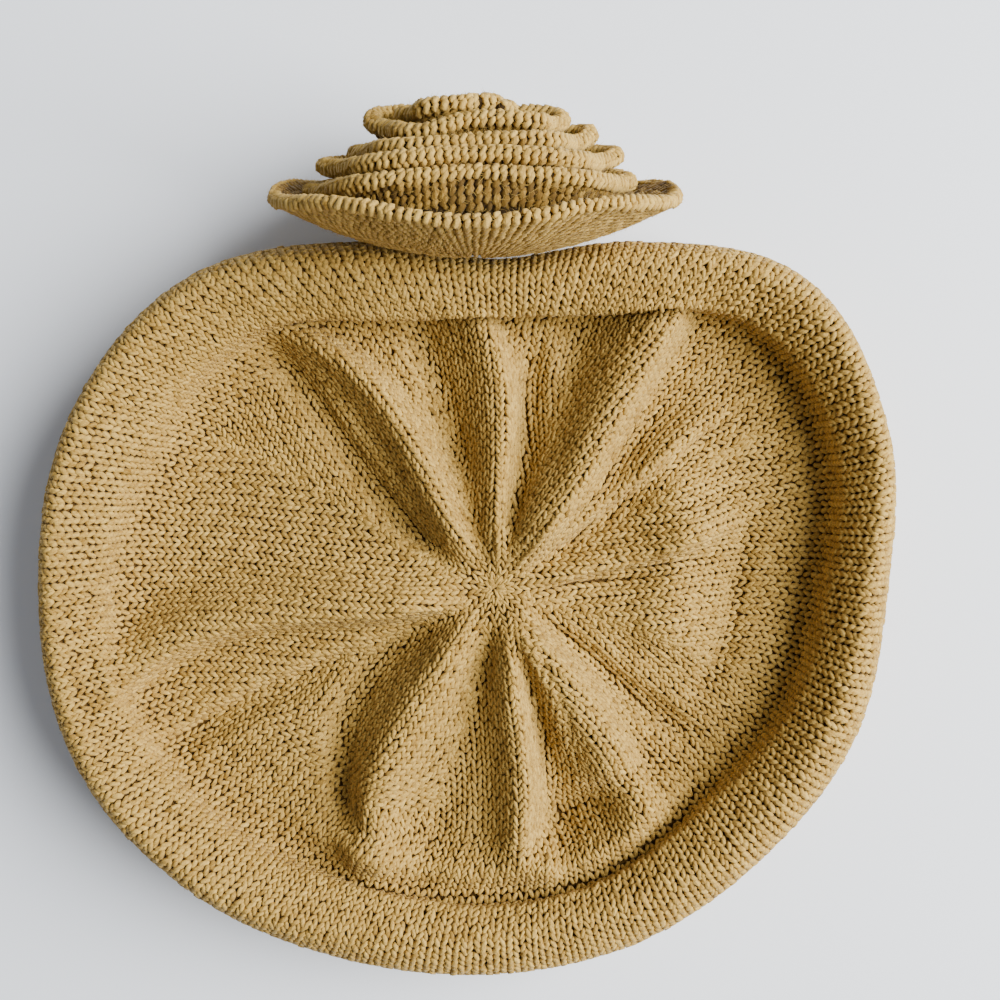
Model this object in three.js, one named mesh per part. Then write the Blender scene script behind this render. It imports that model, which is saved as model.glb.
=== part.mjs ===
// A soft knitted beret with a knitted rose. It lies crown up: the gathered crown has sunk inside the
// rolled rim in radial pleats. Millimetres, +Z up, bottom of the hat on Z = 0.
import * as THREE from 'three';

// Hat sizes
const hatRadius = 150; // from the gather to the furthest side of the outline
const rimHeight = 52; // top of the rolled rim
const girthHeight = 25; // where the hat is widest
const rimWidth = 12; // from the outline in to the top of the rim
const wallWidth = 46; // widest slope from the rim's top down to the crown's floor
const lipReach = 18; // how far the rim leans in over the crown
const floorHeight = 28; // crown's floor at the foot of the rim
const gatherHeight = 38; // where the crown is drawn together, above the floor round it
const hemRadius = 9; // turn from the outer wall to the underside
const knitThickness = 2.5;

// Pleats of the crown
const pleatHeight = 12;
const pleatWidth = 10;
const pleatCrispness = 2.4; // 2 is a soft wave, and more gives a flatter top and steeper sides

// Head band, folded flat under the hat
const openingRadius = 74; // head opening, relaxed
const bandWidth = 24;
const bandThickness = 3.5;
const gatherOffset = new THREE.Vector2(7.8, 6.9); // gather seen from the middle of the opening

// Rose
const roseHalfWidth = 62;
const roseHalfHeight = 51;
const cupDepth = 18; // from the cup's rim back to its middle
const cupThickness = 3.2;
const cupWave = 2.2; // ruffle of the cup's rim, along the axis
const cupWaves = 5;
const cupSag = 5.5; // how far its rim bends back at the top
const roseTilt = THREE.MathUtils.degToRad(16); // its top leans over the rim
const roseAzimuth = 90; // side of the hat that carries it
const roseSide = -6; // its middle, seen from the gather
const ruffleThickness = 3.6;
const ruffleRise = 30; // the highest ruffle, in front of the cup's rim
const ruffleSwing = 2.4; // sideways waves of the ruffles' free edges
const ruffleLift = 4; // their free edges rise above and below the axis, and fall beside it

const sewnGap = 0.3; // between pieces that are sewn together
const facetSag = 0.2; // how far a flat facet lies inside a hollow form

// Outline and section of the hat, a row for each azimuth round the gather. Columns: outline as a
// share of hatRadius, crest of rimWidth, wall of wallWidth, lip of lipReach, top of rimHeight and
// floor of floorHeight.
const sections = [
  { azimuth: 0, outline: 0.856, crest: 0.95, wall: 0.34, lip: 0.02, top: 1, floor: 0.96 },
  { azimuth: 22.5, outline: 0.921, crest: 0.72, wall: 0.36, lip: 0.04, top: 1, floor: 1 },
  { azimuth: 45, outline: 0.953, crest: 0.8, wall: 0.42, lip: 0.12, top: 1, floor: 1.04 },
  { azimuth: 67.5, outline: 0.82, crest: 1, wall: 0.3, lip: 0.42, top: 1, floor: 1.04 },
  { azimuth: 90, outline: 0.712, crest: 0.85, wall: 0.1, lip: 0.42, top: 0.92, floor: 1.02 },
  { azimuth: 112.5, outline: 0.82, crest: 1.08, wall: 0.3, lip: 0.48, top: 1, floor: 1 },
  { azimuth: 135, outline: 0.953, crest: 0.92, wall: 0.48, lip: 0.2, top: 1, floor: 0.96 },
  { azimuth: 157.5, outline: 0.995, crest: 0.8, wall: 0.6, lip: 0.02, top: 0.98, floor: 0.92 },
  { azimuth: 180, outline: 0.99, crest: 0.75, wall: 0.44, lip: 0.02, top: 0.96, floor: 0.9 },
  { azimuth: 202.5, outline: 0.989, crest: 0.8, wall: 0.46, lip: 0.04, top: 0.94, floor: 0.91 },
  { azimuth: 225, outline: 0.937, crest: 0.85, wall: 0.44, lip: 0.12, top: 0.92, floor: 0.97 },
  { azimuth: 247.5, outline: 0.88, crest: 1, wall: 0.38, lip: 0.3, top: 0.91, floor: 1.12 },
  { azimuth: 270, outline: 0.851, crest: 1.08, wall: 0.3, lip: 0.35, top: 0.91, floor: 1.25 },
  { azimuth: 292.5, outline: 0.843, crest: 1.12, wall: 0.3, lip: 0.35, top: 0.92, floor: 1.2 },
  { azimuth: 315, outline: 0.833, crest: 1.15, wall: 0.38, lip: 0.15, top: 0.96, floor: 1 },
  { azimuth: 337.5, outline: 0.852, crest: 1.15, wall: 0.36, lip: 0.04, top: 1, floor: 0.96 },
];

// Pleats, a row for each. Columns: azimuth at the gather, half way and at the foot of the rim, where
// it starts and ends as shares of the floor's radius, height as a share of pleatHeight (below 0 for
// the hollow between two pleats), and the clockwise (near) and anticlockwise (far) widths as shares
// of pleatWidth.
const pleats = [
  { gather: 133, middle: 120, foot: 128, start: 0.05, end: 1, height: 0.95, near: 0.65, far: 0.7 },
  { gather: 155, middle: 139, foot: 133, start: 0.1, end: 1, height: -0.45, near: 0.4, far: 0.5 },
  { gather: 102, middle: 105, foot: 106, start: 0.3, end: 1, height: -0.4, near: 0.6, far: 0.6 },
  { gather: 88, middle: 86, foot: 94, start: 0.04, end: 1, height: 0.8, near: 0.5, far: 1 },
  { gather: 79, middle: 79, foot: 82, start: 0.12, end: 0.85, height: -0.5, near: 0.55, far: 0.4 },
  { gather: 47, middle: 54, foot: 57, start: 0.04, end: 1.05, height: 1.25, near: 0.6, far: 1.3 },
  { gather: 62, middle: 68, foot: 72, start: 0.25, end: 0.98, height: -0.3, near: 0.7, far: 0.6 },
  { gather: 34, middle: 39, foot: 36, start: 0.06, end: 0.8, height: 0.45, near: 0.3, far: 0.7 },
  { gather: 30, middle: 33, foot: 30, start: 0.1, end: 0.7, height: -0.25, near: 0.5, far: 0.3 },
  { gather: 8, middle: 13, foot: 17, start: 0.06, end: 0.75, height: 0.4, near: 0.3, far: 0.7 },
  { gather: 3, middle: 7, foot: 10, start: 0.15, end: 0.7, height: -0.22, near: 0.5, far: 0.3 },
  { gather: -14, middle: -12, foot: -12, start: 0.2, end: 0.98, height: 0.2, near: 1.8, far: 1.4 },
  { gather: -46, middle: -52, foot: -57, start: 0.05, end: 0.92, height: 1, near: 1.1, far: 0.7 },
  { gather: -37, middle: -39, foot: -36, start: 0.1, end: 0.85, height: -0.4, near: 0.4, far: 0.5 },
  { gather: -58, middle: -66, foot: -70, start: 0.05, end: 0.6, height: 0.3, near: 0.35, far: 0.35 },
  { gather: -75, middle: -80, foot: -86, start: 0.05, end: 1, height: 0.9, near: 0.8, far: 0.45 },
  { gather: -67, middle: -72, foot: -76, start: 0.15, end: 0.98, height: -0.35, near: 0.4, far: 0.7 },
  { gather: -96, middle: -100, foot: -103, start: 0.1, end: 0.95, height: -0.15, near: 0.6, far: 0.5 },
  { gather: -125, middle: -124, foot: -114, start: 0.05, end: 1, height: 0.9, near: 0.8, far: 1.1 },
  { gather: 207, middle: 218, foot: 250, start: 0.12, end: 0.88, height: -0.45, near: 0.6, far: 0.6 },
  { gather: 202, middle: 188, foot: 193, start: 0.05, end: 1.15, height: 1, near: 1.3, far: 0.45 },
  { gather: 211, middle: 205, foot: 206, start: 0.3, end: 1.15, height: -0.35, near: 0.3, far: 0.6 },
];
const pleatRamp = 0.22; // share of the floor's radius over which a pleat rises or fades

// Tucks, bulges and hollows that run round the crown, a row for each. Columns: azimuth where it
// starts and ends, radius as a share of the floor's, height as a share of pleatHeight and width as a
// share of pleatWidth.
const tucks = [
  { from: 225, to: 292, radius: 0.93, height: 0.35, width: 0.55 },
  { from: 268, to: 320, radius: 0.96, height: 0.7, width: 0.7 },
  { from: 274, to: 318, radius: 0.8, height: -0.45, width: 0.65 },
  { from: -26, to: 46, radius: 0.58, height: 0.62, width: 1.3 },
  { from: -34, to: 22, radius: 0.8, height: -0.25, width: 0.45 },
];
const tuckRamp = 14; // degrees over which a tuck rises or fades

// Stations along the section, as places on its control points
const crownStations = [
  0.35, 0.8, 1.25, 1.7, 2.15, 2.6, 3, 3.4, 3.8, 4.2, 4.7, 5.2, 5.8, 6.4, 7, 7.6, 8.2, 9, 11,
];
const crownSteps = 90;
const bandSteps = 48;

function catmullRom(a, b, c, d, t) {
  const linear = (c - a) * t;
  const square = (2 * a - 5 * b + 4 * c - d) * t * t;
  const cube = (3 * b - a - 3 * c + d) * t * t * t;
  return 0.5 * (2 * b + linear + square + cube);
}

function smoothStep(value) {
  const t = THREE.MathUtils.clamp(value, 0, 1);
  return t * t * (3 - 2 * t);
}

// The section's sizes at any azimuth, between the rows of the table
function sectionAt(azimuth) {
  const count = sections.length;
  const place = THREE.MathUtils.euclideanModulo(azimuth, 360) / (360 / count);
  const index = Math.floor(place);
  const rows = [-1, 0, 1, 2].map((step) => sections[(index + step + count) % count]);
  const between = (key) => catmullRom(...rows.map((row) => row[key]), place - index);
  const outline = between('outline') * hatRadius;
  const crest = outline - between('crest') * rimWidth;
  return {
    outline,
    crest,
    foot: crest - between('wall') * wallWidth,
    lip: between('lip') * lipReach,
    top: between('top') * rimHeight,
    floor: between('floor') * floorHeight,
  };
}

// Distance from the gather to a circle round the middle of the head opening
function circleFromGather(radius, azimuth) {
  const angle = THREE.MathUtils.degToRad(azimuth);
  const along = gatherOffset.x * Math.cos(angle) + gatherOffset.y * Math.sin(angle);
  return -along + Math.sqrt(along * along + radius * radius - gatherOffset.lengthSq());
}

// Control points [radius, height] of the outer face, from the gather over the rim to the hem
function profileAt(azimuth) {
  const { outline, crest, foot, lip, top, floor } = sectionAt(azimuth);
  const edge = circleFromGather(openingRadius + bandWidth + sewnGap, azimuth);
  const contact = outline - hemRadius;
  return [
    [0, gatherHeight],
    [0.3 * foot, THREE.MathUtils.lerp(gatherHeight, floor, 0.3)],
    [0.65 * foot, THREE.MathUtils.lerp(gatherHeight, floor, 0.78)],
    [foot, floor],
    [foot + 0.45 * (crest - foot) - lip, floor + 0.62 * (top - floor)],
    [crest, top],
    [outline - 0.28 * (outline - crest), girthHeight + 0.72 * (top - girthHeight)],
    [outline, girthHeight],
    [outline - 0.28 * hemRadius, hemRadius],
    [contact, 0],
    [(contact + edge) / 2, 0],
    [edge, 0],
  ];
}

// Height that the pleats and tucks add at an azimuth and a radius
function pleatRise(azimuth, radius, foot) {
  const share = Math.min(radius / foot, 1.6);
  let rise = 0;
  for (const pleat of pleats) {
    const line =
      pleat.gather * (1 - share) * (1 - 2 * share) +
      pleat.middle * 4 * share * (1 - share) +
      pleat.foot * share * (2 * share - 1);
    const turn = THREE.MathUtils.euclideanModulo(azimuth - line + 180, 360) - 180;
    const across = THREE.MathUtils.degToRad(turn) * share * foot;
    const narrowing = Math.min(1, 0.35 + 1.6 * share);
    const width = (across > 0 ? pleat.far : pleat.near) * pleatWidth * narrowing;
    const grown = smoothStep((share - pleat.start) / pleatRamp);
    const left = 1 - smoothStep((share - pleat.end + pleatRamp / 2) / pleatRamp);
    const shape = Math.exp(-(Math.abs(across / width) ** pleatCrispness));
    rise += pleat.height * pleatHeight * grown * left * shape;
  }
  for (const tuck of tucks) {
    const turn = THREE.MathUtils.euclideanModulo(azimuth - tuck.from, 360);
    const span = tuck.to - tuck.from;
    const window = smoothStep(turn / tuckRamp) * smoothStep((span - turn) / tuckRamp);
    const off = (radius - tuck.radius * foot) / (tuck.width * pleatWidth);
    rise += tuck.height * pleatHeight * window * Math.exp(-(off * off));
  }
  return rise;
}

// Point of the smooth section at a station, before the pleats
function sectionPoint(profile, station) {
  const last = profile.length - 1;
  const index = Math.min(Math.floor(station), last - 1);
  const control = (i) => {
    if (i < 0) return [-profile[-i][0], profile[-i][1]];
    if (i > last) return [2 * profile[last][0] - profile[last - 1][0], profile[last][1]];
    return profile[i];
  };
  const points = [-1, 0, 1, 2].map((step) => control(index + step));
  const [radius, height] = [0, 1].map((axis) =>
    catmullRom(...points.map((point) => point[axis]), station - index),
  );
  return new THREE.Vector2(radius, Math.max(height, 0));
}

// Point of the crown's outer face, or of its inner face a depth below it
function crownPoint(azimuth, station, depth) {
  const profile = profileAt(azimuth);
  const last = profile.length - 1;
  const point = sectionPoint(profile, station);
  const ahead = sectionPoint(profile, Math.min(station + 0.05, last));
  const behind = sectionPoint(profile, Math.max(station - 0.05, 0));
  const tangent = ahead.sub(behind).normalize();
  const fading = 1 - smoothStep((station - 3) / 1.6);
  const rise = pleatRise(azimuth, point.x, profile[3][0]) * fading;
  const radius = point.x + depth * tangent.y;
  const height = point.y + rise - depth * tangent.x;
  const angle = THREE.MathUtils.degToRad(azimuth);
  return new THREE.Vector3(radius * Math.cos(angle), radius * Math.sin(angle), height);
}

// A closed body from rings of points. Rings follow each other, and each is closed. Poles close the
// first and last rings, and without poles the last ring joins the first.
function bodyFromRings(rings, firstPole, lastPole) {
  const positions = rings.flat();
  const size = rings[0].length;
  const index = [];
  const joins = firstPole ? rings.length - 1 : rings.length;
  for (let ring = 0; ring < joins; ring += 1) {
    const next = (ring + 1) % rings.length;
    for (let i = 0; i < size; i += 1) {
      const j = (i + 1) % size;
      const [a, b] = [ring * size + i, ring * size + j];
      const [c, d] = [next * size + i, next * size + j];
      index.push(a, c, b, b, c, d);
    }
  }
  if (firstPole) {
    const first = positions.push(firstPole) - 1;
    const last = positions.push(lastPole) - 1;
    const start = (rings.length - 1) * size;
    for (let i = 0; i < size; i += 1) {
      const j = (i + 1) % size;
      index.push(first, i, j);
      index.push(last, start + j, start + i);
    }
  }
  const geometry = new THREE.BufferGeometry();
  const flat = positions.flatMap((point) => point.toArray());
  geometry.setAttribute('position', new THREE.Float32BufferAttribute(flat, 3));
  geometry.setIndex(index);
  geometry.computeVertexNormals();
  return geometry;
}

function azimuths(count) {
  return Array.from({ length: count }, (_, i) => (i * 360) / count);
}

// Crown: outer face from the gather to the hem, then the inner face back to the gather
function crownGeometry() {
  const ringAt = (station, depth) =>
    azimuths(crownSteps).map((azimuth) => crownPoint(azimuth, station, depth));
  const outer = crownStations.map((station) => ringAt(station, 0));
  const inner = crownStations.map((station) => ringAt(station, knitThickness)).reverse();
  const poles = [0, knitThickness].map((depth) => new THREE.Vector3(0, 0, gatherHeight - depth));
  return bodyFromRings([...outer, ...inner], poles[0], poles[1]);
}

// Band: a flat ring round the head opening, with rounded edges
function bandGeometry() {
  const soft = bandThickness / 4;
  const outline = [
    [openingRadius + soft, 0],
    [openingRadius, soft],
    [openingRadius, bandThickness - soft],
    [openingRadius + soft, bandThickness],
    [openingRadius + bandWidth - soft, bandThickness],
    [openingRadius + bandWidth, bandThickness - soft],
    [openingRadius + bandWidth, soft],
    [openingRadius + bandWidth - soft, 0],
  ];
  const rings = outline.map(([radius, height]) =>
    azimuths(bandSteps).map((azimuth) => {
      const angle = THREE.MathUtils.degToRad(azimuth);
      const reach = circleFromGather(radius, azimuth);
      return new THREE.Vector3(reach * Math.cos(angle), reach * Math.sin(angle), height);
    }),
  );
  return bodyFromRings(rings);
}

// The rose is made along its own axis Z, with -Y up the hat's wall, and turned into place
const cupRings = [0.22, 0.42, 0.6, 0.75, 0.88, 1];
const cupSteps = 60;

// Middle of the cup's wall, at a share of its radius and an angle
function cupPoint(share, angle, offset) {
  const wave = cupWave * share ** 3 * Math.sin(cupWaves * angle);
  const sag = cupSag * share ** 2 * Math.max(0, -Math.sin(angle)) ** 2;
  const height = -cupDepth * (1 - share * share) + wave - sag + offset;
  return new THREE.Vector3(
    share * roseHalfWidth * Math.cos(angle),
    share * roseHalfHeight * Math.sin(angle),
    height,
  );
}

function cupGeometry() {
  const half = cupThickness / 2;
  const turnOf = (i) => (i * 2 * Math.PI) / cupSteps;
  const ringAt = (share, offset) =>
    Array.from({ length: cupSteps }, (_, i) => cupPoint(share, turnOf(i), offset));
  const front = cupRings.map((share) => ringAt(share, half));
  const edge = ringAt(1 + cupThickness / roseHalfWidth / 2, 0);
  const back = cupRings.map((share) => ringAt(share, -half)).reverse();
  return bodyFromRings(
    [...front, edge, ...back],
    new THREE.Vector3(0, 0, half - cupDepth),
    new THREE.Vector3(0, 0, -half - cupDepth),
  );
}

// Knitted strips that stand in the cup, folded double at their free edge. Columns: name, turns
// round the axis where the strip starts and ends, its radius there as shares of the cup's, its free
// edge there as shares of ruffleRise, waves per turn, their swing as a share of ruffleSwing, flare
// of the free edge as a share of the cup's radius, steps, and the strip's own loops and hollows.
// Columns of those: middle and width in turns, how far the free edge leans out as a share of the
// cup's radius, and how far it rises as a share of ruffleRise.
const ruffles = [
  {
    name: 'flower_ruffle',
    turns: [0.35, 4.75],
    radius: [0.77, 0.23],
    rise: [0.14, 0.92],
    waves: 5,
    swing: 1,
    flare: 0.08,
    steps: 104,
    loops: [
      { turn: 0.75, width: 0.17, out: -0.07, up: -0.02 },
      { turn: 1.46, width: 0.1, out: 0.04, up: 0.07 },
      { turn: 2.04, width: 0.07, out: 0.05, up: 0.07 },
      { turn: 2.72, width: 0.1, out: -0.02, up: -0.06 },
      { turn: 3.05, width: 0.06, out: 0.04, up: 0.09 },
      { turn: 3.47, width: 0.09, out: 0.06, up: 0.14 },
      { turn: 3.66, width: 0.05, out: -0.03, up: -0.08 },
      { turn: 4.1, width: 0.06, out: 0.05, up: 0.07 },
    ],
  },
  {
    name: 'flower_heart',
    turns: [0.9, 2.2],
    radius: [0.14, 0.05],
    rise: [0.9, 0.97],
    waves: 3,
    swing: 0.5,
    flare: 0.03,
    steps: 30,
    loops: [{ turn: 1.2, width: 0.08, out: 0.02, up: 0.05 }],
  },
];

// Half of a strip's section: a thinner wall with a thick rolled edge. Columns: how far it lies below
// the free edge as a share of ruffleThickness, and its half width as a share of half of that.
const edgeRoll = [
  { down: 1.25, across: 0.62 },
  { down: 0.8, across: 1 },
  { down: 0.25, across: 1 },
  { down: 0, across: 0.55 },
];

function ruffleGeometry({ turns, radius, rise, waves, swing, flare, steps, loops }) {
  const half = ruffleThickness / 2;
  const wall = { down: Infinity, across: edgeRoll[0].across };
  const side = [wall, ...edgeRoll];
  const outline = [...side, ...side.map((row) => ({ ...row, across: -row.across })).reverse()];
  const rings = [];
  for (let i = 0; i <= steps; i += 1) {
    const along = i / steps;
    const turn = THREE.MathUtils.lerp(...turns, along);
    const angle = 2 * Math.PI * turn;
    const share = THREE.MathUtils.lerp(...radius, along);
    const bumps = loops.map((loop) => Math.exp(-(((turn - loop.turn) / loop.width) ** 2)));
    const out = loops.reduce((sum, loop, k) => sum + loop.out * bumps[k], 0);
    const up = loops.reduce((sum, loop, k) => sum + loop.up * bumps[k], 0);
    const lift = -ruffleLift * Math.cos(2 * angle) * share;
    const top = ruffleRise * (THREE.MathUtils.lerp(...rise, along) + up) + lift;
    const wave = (swing * ruffleSwing * Math.sin(waves * angle)) / roseHalfWidth;
    const rest = cupThickness / 2 + sewnGap + facetSag;
    const height = top - cupPoint(share, angle, rest).z;
    rings.push(
      outline.map(({ down, across }) => {
        const level = Math.max(0, 1 - (down * ruffleThickness) / height);
        const lean = level ** 2 * (flare + wave) + level ** 4 * out;
        const reach = share + lean + (across * half) / roseHalfWidth;
        const foot = cupPoint(reach, angle, rest).z;
        return new THREE.Vector3(
          reach * roseHalfWidth * Math.cos(angle),
          reach * roseHalfHeight * Math.sin(angle),
          THREE.MathUtils.lerp(foot, top, level),
        );
      }),
    );
  }
  const middle = (points) =>
    points.reduce((sum, point) => sum.add(point), new THREE.Vector3()).divideScalar(points.length);
  return bodyFromRings(rings, middle(rings[0]), middle(rings[steps]));
}

// How far out along its axis the rose stands so that the cup's back just clears the rim
function roseDistance(frame) {
  const toRose = frame.clone().invert();
  let distance = -Infinity;
  for (const azimuth of azimuths(crownSteps)) {
    for (const station of crownStations) {
      const point = crownPoint(azimuth, station, 0).applyMatrix4(toRose);
      const share = Math.hypot(point.x / roseHalfWidth, point.y / roseHalfHeight);
      if (share > 1.05) continue;
      const angle = Math.atan2(point.y / roseHalfHeight, point.x / roseHalfWidth);
      const back = cupPoint(share, angle, -cupThickness / 2).z;
      distance = Math.max(distance, point.z - back);
    }
  }
  return distance;
}

// Place of the rose: on the table, leaning over the rim, pushed up to the hat
function roseFrame() {
  const turn = new THREE.Euler(roseTilt - Math.PI / 2, 0, 0);
  const axis = new THREE.Vector3(0, 0, 1).applyEuler(turn);
  const low = roseHalfHeight * Math.cos(roseTilt) + cupThickness;
  const start = new THREE.Vector3(roseSide, sectionAt(roseAzimuth).outline, low);
  for (let round = 0; round < 4; round += 1) {
    const frame = new THREE.Matrix4().makeRotationFromEuler(turn).setPosition(start);
    start.addScaledVector(axis, roseDistance(frame) + sewnGap);
    start.z = low;
  }
  return { position: start, turn };
}

function makePiece(name, geometry, colour, roughness) {
  const material = new THREE.MeshStandardMaterial({ color: colour, roughness, metalness: 0 });
  const mesh = new THREE.Mesh(geometry, material);
  mesh.name = name;
  return mesh;
}

const mustard = 0xb59558;
const hat = new THREE.Group();
hat.add(makePiece('crown', crownGeometry(), mustard, 0.95));
hat.add(makePiece('brim_band', bandGeometry(), mustard, 0.95));

const rose = new THREE.Group();
const seat = roseFrame();
rose.position.copy(seat.position);
rose.rotation.copy(seat.turn);
rose.add(makePiece('flower_base', cupGeometry(), mustard, 0.95));
for (const ruffle of ruffles) {
  rose.add(makePiece(ruffle.name, ruffleGeometry(ruffle), mustard, 0.95));
}
hat.add(rose);

// The model's origin is the middle of its box's bottom
const model = new THREE.Group();
model.add(hat);
model.updateMatrixWorld(true);
const box = new THREE.Box3().setFromObject(model, true);
hat.position.set(-(box.min.x + box.max.x) / 2, -(box.min.y + box.max.y) / 2, -box.min.z);
model.updateMatrixWorld(true);

export default model;
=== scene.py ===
"""Knitted beret with a knitted rose, lying crown up.

The form follows the same sections, pleats and spirals as the part's source. On it, every stitch is
a pair of slanted legs of yarn laid in columns, over a cloth that shows between them, coloured dark
as painted shade for the gaps between the stitches.
"""

import math

import bpy
import numpy as np
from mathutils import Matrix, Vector


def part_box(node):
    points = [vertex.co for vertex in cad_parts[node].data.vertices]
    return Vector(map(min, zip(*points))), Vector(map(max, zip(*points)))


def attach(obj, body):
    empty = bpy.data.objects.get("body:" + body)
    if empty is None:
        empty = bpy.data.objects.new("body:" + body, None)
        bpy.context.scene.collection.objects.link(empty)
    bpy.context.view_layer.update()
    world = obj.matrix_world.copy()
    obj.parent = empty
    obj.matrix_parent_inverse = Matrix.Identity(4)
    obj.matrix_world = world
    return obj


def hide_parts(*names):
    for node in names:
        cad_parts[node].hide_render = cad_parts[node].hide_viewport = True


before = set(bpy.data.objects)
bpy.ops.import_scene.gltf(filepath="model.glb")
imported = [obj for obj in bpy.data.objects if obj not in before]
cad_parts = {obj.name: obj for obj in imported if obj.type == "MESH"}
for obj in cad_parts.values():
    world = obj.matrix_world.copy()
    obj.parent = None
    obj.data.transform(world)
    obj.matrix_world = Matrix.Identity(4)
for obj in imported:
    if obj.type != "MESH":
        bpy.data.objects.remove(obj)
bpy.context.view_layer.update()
MM = 0.001
random = np.random.default_rng(7)

# Hat, in millimetres
HAT_RADIUS = 150.0
RIM_HEIGHT = 52.0
GIRTH_HEIGHT = 25.0
RIM_WIDTH = 12.0
WALL_WIDTH = 46.0
LIP_REACH = 18.0
FLOOR_HEIGHT = 28.0
GATHER_HEIGHT = 38.0
HEM_RADIUS = 9.0
KNIT_THICKNESS = 2.5
PLEAT_HEIGHT = 12.0
PLEAT_WIDTH = 10.0
PLEAT_CRISPNESS = 2.4
PLEAT_RAMP = 0.22
TUCK_RAMP = 14.0
OPENING_RADIUS = 74.0
BAND_WIDTH = 24.0
BAND_THICKNESS = 3.5
GATHER_OFFSET = np.array([7.8, 6.9])
SEWN_GAP = 0.3

# Rose, in millimetres
ROSE_HALF_WIDTH = 62.0
ROSE_HALF_HEIGHT = 51.0
CUP_DEPTH = 18.0
CUP_THICKNESS = 3.2
CUP_WAVE = 1.4
CUP_WAVES = 5
CUP_SAG = 4.2
ROSE_TILT = math.radians(16)
ROSE_SIDE = -6.0
RUFFLE_THICKNESS = 3.6
RUFFLE_RISE = 30.0
RUFFLE_SWING = 2.4
RUFFLE_LIFT = 4.0
WALL_HALF = 0.9  # half width of a strip below its rolled edge
ROLL_RADIUS = 2.6  # of the rolled edges of the strips
ROLL_FROM, ROLL_TO = -38, 218  # where a rolled edge starts and ends, in degrees from the strip's face
CUP_ROLL_RADIUS = 2.2
CUP_COLUMNS = 144
CUP_BACK_STARTS = (0.2, 0.5, 0.36, 0.5)  # shares of the radius where neighbouring columns start behind
CUP_FRONT_END = 0.56  # share of the radius where the columns end in front
CUP_SLANT = 1.1  # of the legs in the cup, for each unit of the usual slant
ROSE_COLUMN = 2.45  # width of a column of stitches in the strips
ROSE_COURSE = 2.4  # height of a stitch in the rose
STRIP_SLANT = 1.15
STRIP_FULLNESS = 0.84
ROSE_CLOTH_DEPTH = 0.8
PAINTED_WALL_SHADE = -4.0  # painted shade: yarn on the walls in the rose's folds is coloured darker than on their rims, in spreads of the tone
# painted light: the rolled rims of the rose are coloured lighter, in spreads of the tone
PAINTED_EDGE_LIGHT = 1.0

# Ribbed band, in millimetres
RIBS = 112
RIB_SPREAD = 0.14  # of its two columns from the rib's middle, as a share of the rib
RIB_HALF_WIDTH = 0.7
RIB_COURSE = 2.6
BAND_SIDES = 120

# Stitches, in millimetres
WALE = 3.7  # width of a stitch in the crown
PARALLEL_SHARE = 0.775  # share of the way to the rim's top where the columns start to widen
KNIT_STEPS = 300  # steps in which the way from the gather to the rim's top is counted
COURSE = 2.5  # height of a stitch
LEG_HALF_LENGTH = 2.05
LEG_HALF_HEIGHT = 0.86
LEG_FULLNESS = 0.9
LEG_LEAST = 0.6  # least half width, where columns are drawn together
LEG_MERGING = 0.8  # half width below which legs straighten into one strand
LEG_SLANT = math.radians(25)
LEG_SINK = 0.42  # how far a leg's tips dip below its middle
LEG_DEPTH = 0.45  # from the face to the middle of a leg
CLOTH_DEPTH = 1.6  # from the face to the cloth that shows between the legs
CLOTH_SIDES = 216
FLOOR_GAP = 0.05  # the yarn lies flat where it rests on the floor

# How single stitches differ, as spreads: slant, place across, along and above, length, and width and height
SLANT_SPREAD = 0.12
PLACE_SPREADS = (0.13, 0.17, 0.1)
LENGTH_SPREAD = 0.07
WIDTH_SPREAD = 0.08
YARN_TWIST = 0.22  # turns of the yarn's strands round a leg, from its middle to its tip

# Loose fibres: heights in millimetres, reach and rise as shares of a fibre's length
FIBRE_START = 0.25
FIBRE_REACH = (0.45, 1.25)
FIBRE_RISE = (0.1, 0.75)
FIBRE_CURL = 0.5
ROSE_FIBRES = {"share": 1.8, "length": 3.4, "width": 0.09}

# Section of the hat round the gather, every 22.5 degrees: outline, crest, wall, lip, top, floor
SECTIONS = np.array([
    [0.856, 0.95, 0.34, 0.02, 1, 0.96],
    [0.921, 0.72, 0.36, 0.04, 1, 1],
    [0.953, 0.8, 0.42, 0.12, 1, 1.04],
    [0.82, 1, 0.3, 0.42, 1, 1.04],
    [0.722, 0.85, 0.12, 0.42, 0.92, 1.02],
    [0.82, 1.08, 0.3, 0.48, 1, 1],
    [0.953, 0.92, 0.48, 0.2, 1, 0.96],
    [0.995, 0.8, 0.6, 0.02, 0.98, 0.92],
    [0.99, 0.75, 0.44, 0.02, 0.96, 0.9],
    [0.989, 0.8, 0.46, 0.04, 0.94, 0.91],
    [0.937, 0.85, 0.44, 0.12, 0.92, 0.97],
    [0.88, 1.2, 0.33, 0.2, 0.91, 1.1],
    [0.851, 1.4, 0.24, 0.12, 0.91, 1.18],
    [0.843, 1.45, 0.26, 0.1, 0.92, 1.14],
    [0.833, 1.15, 0.38, 0.15, 0.96, 1],
    [0.852, 1.15, 0.36, 0.04, 1, 0.96],
])

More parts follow.
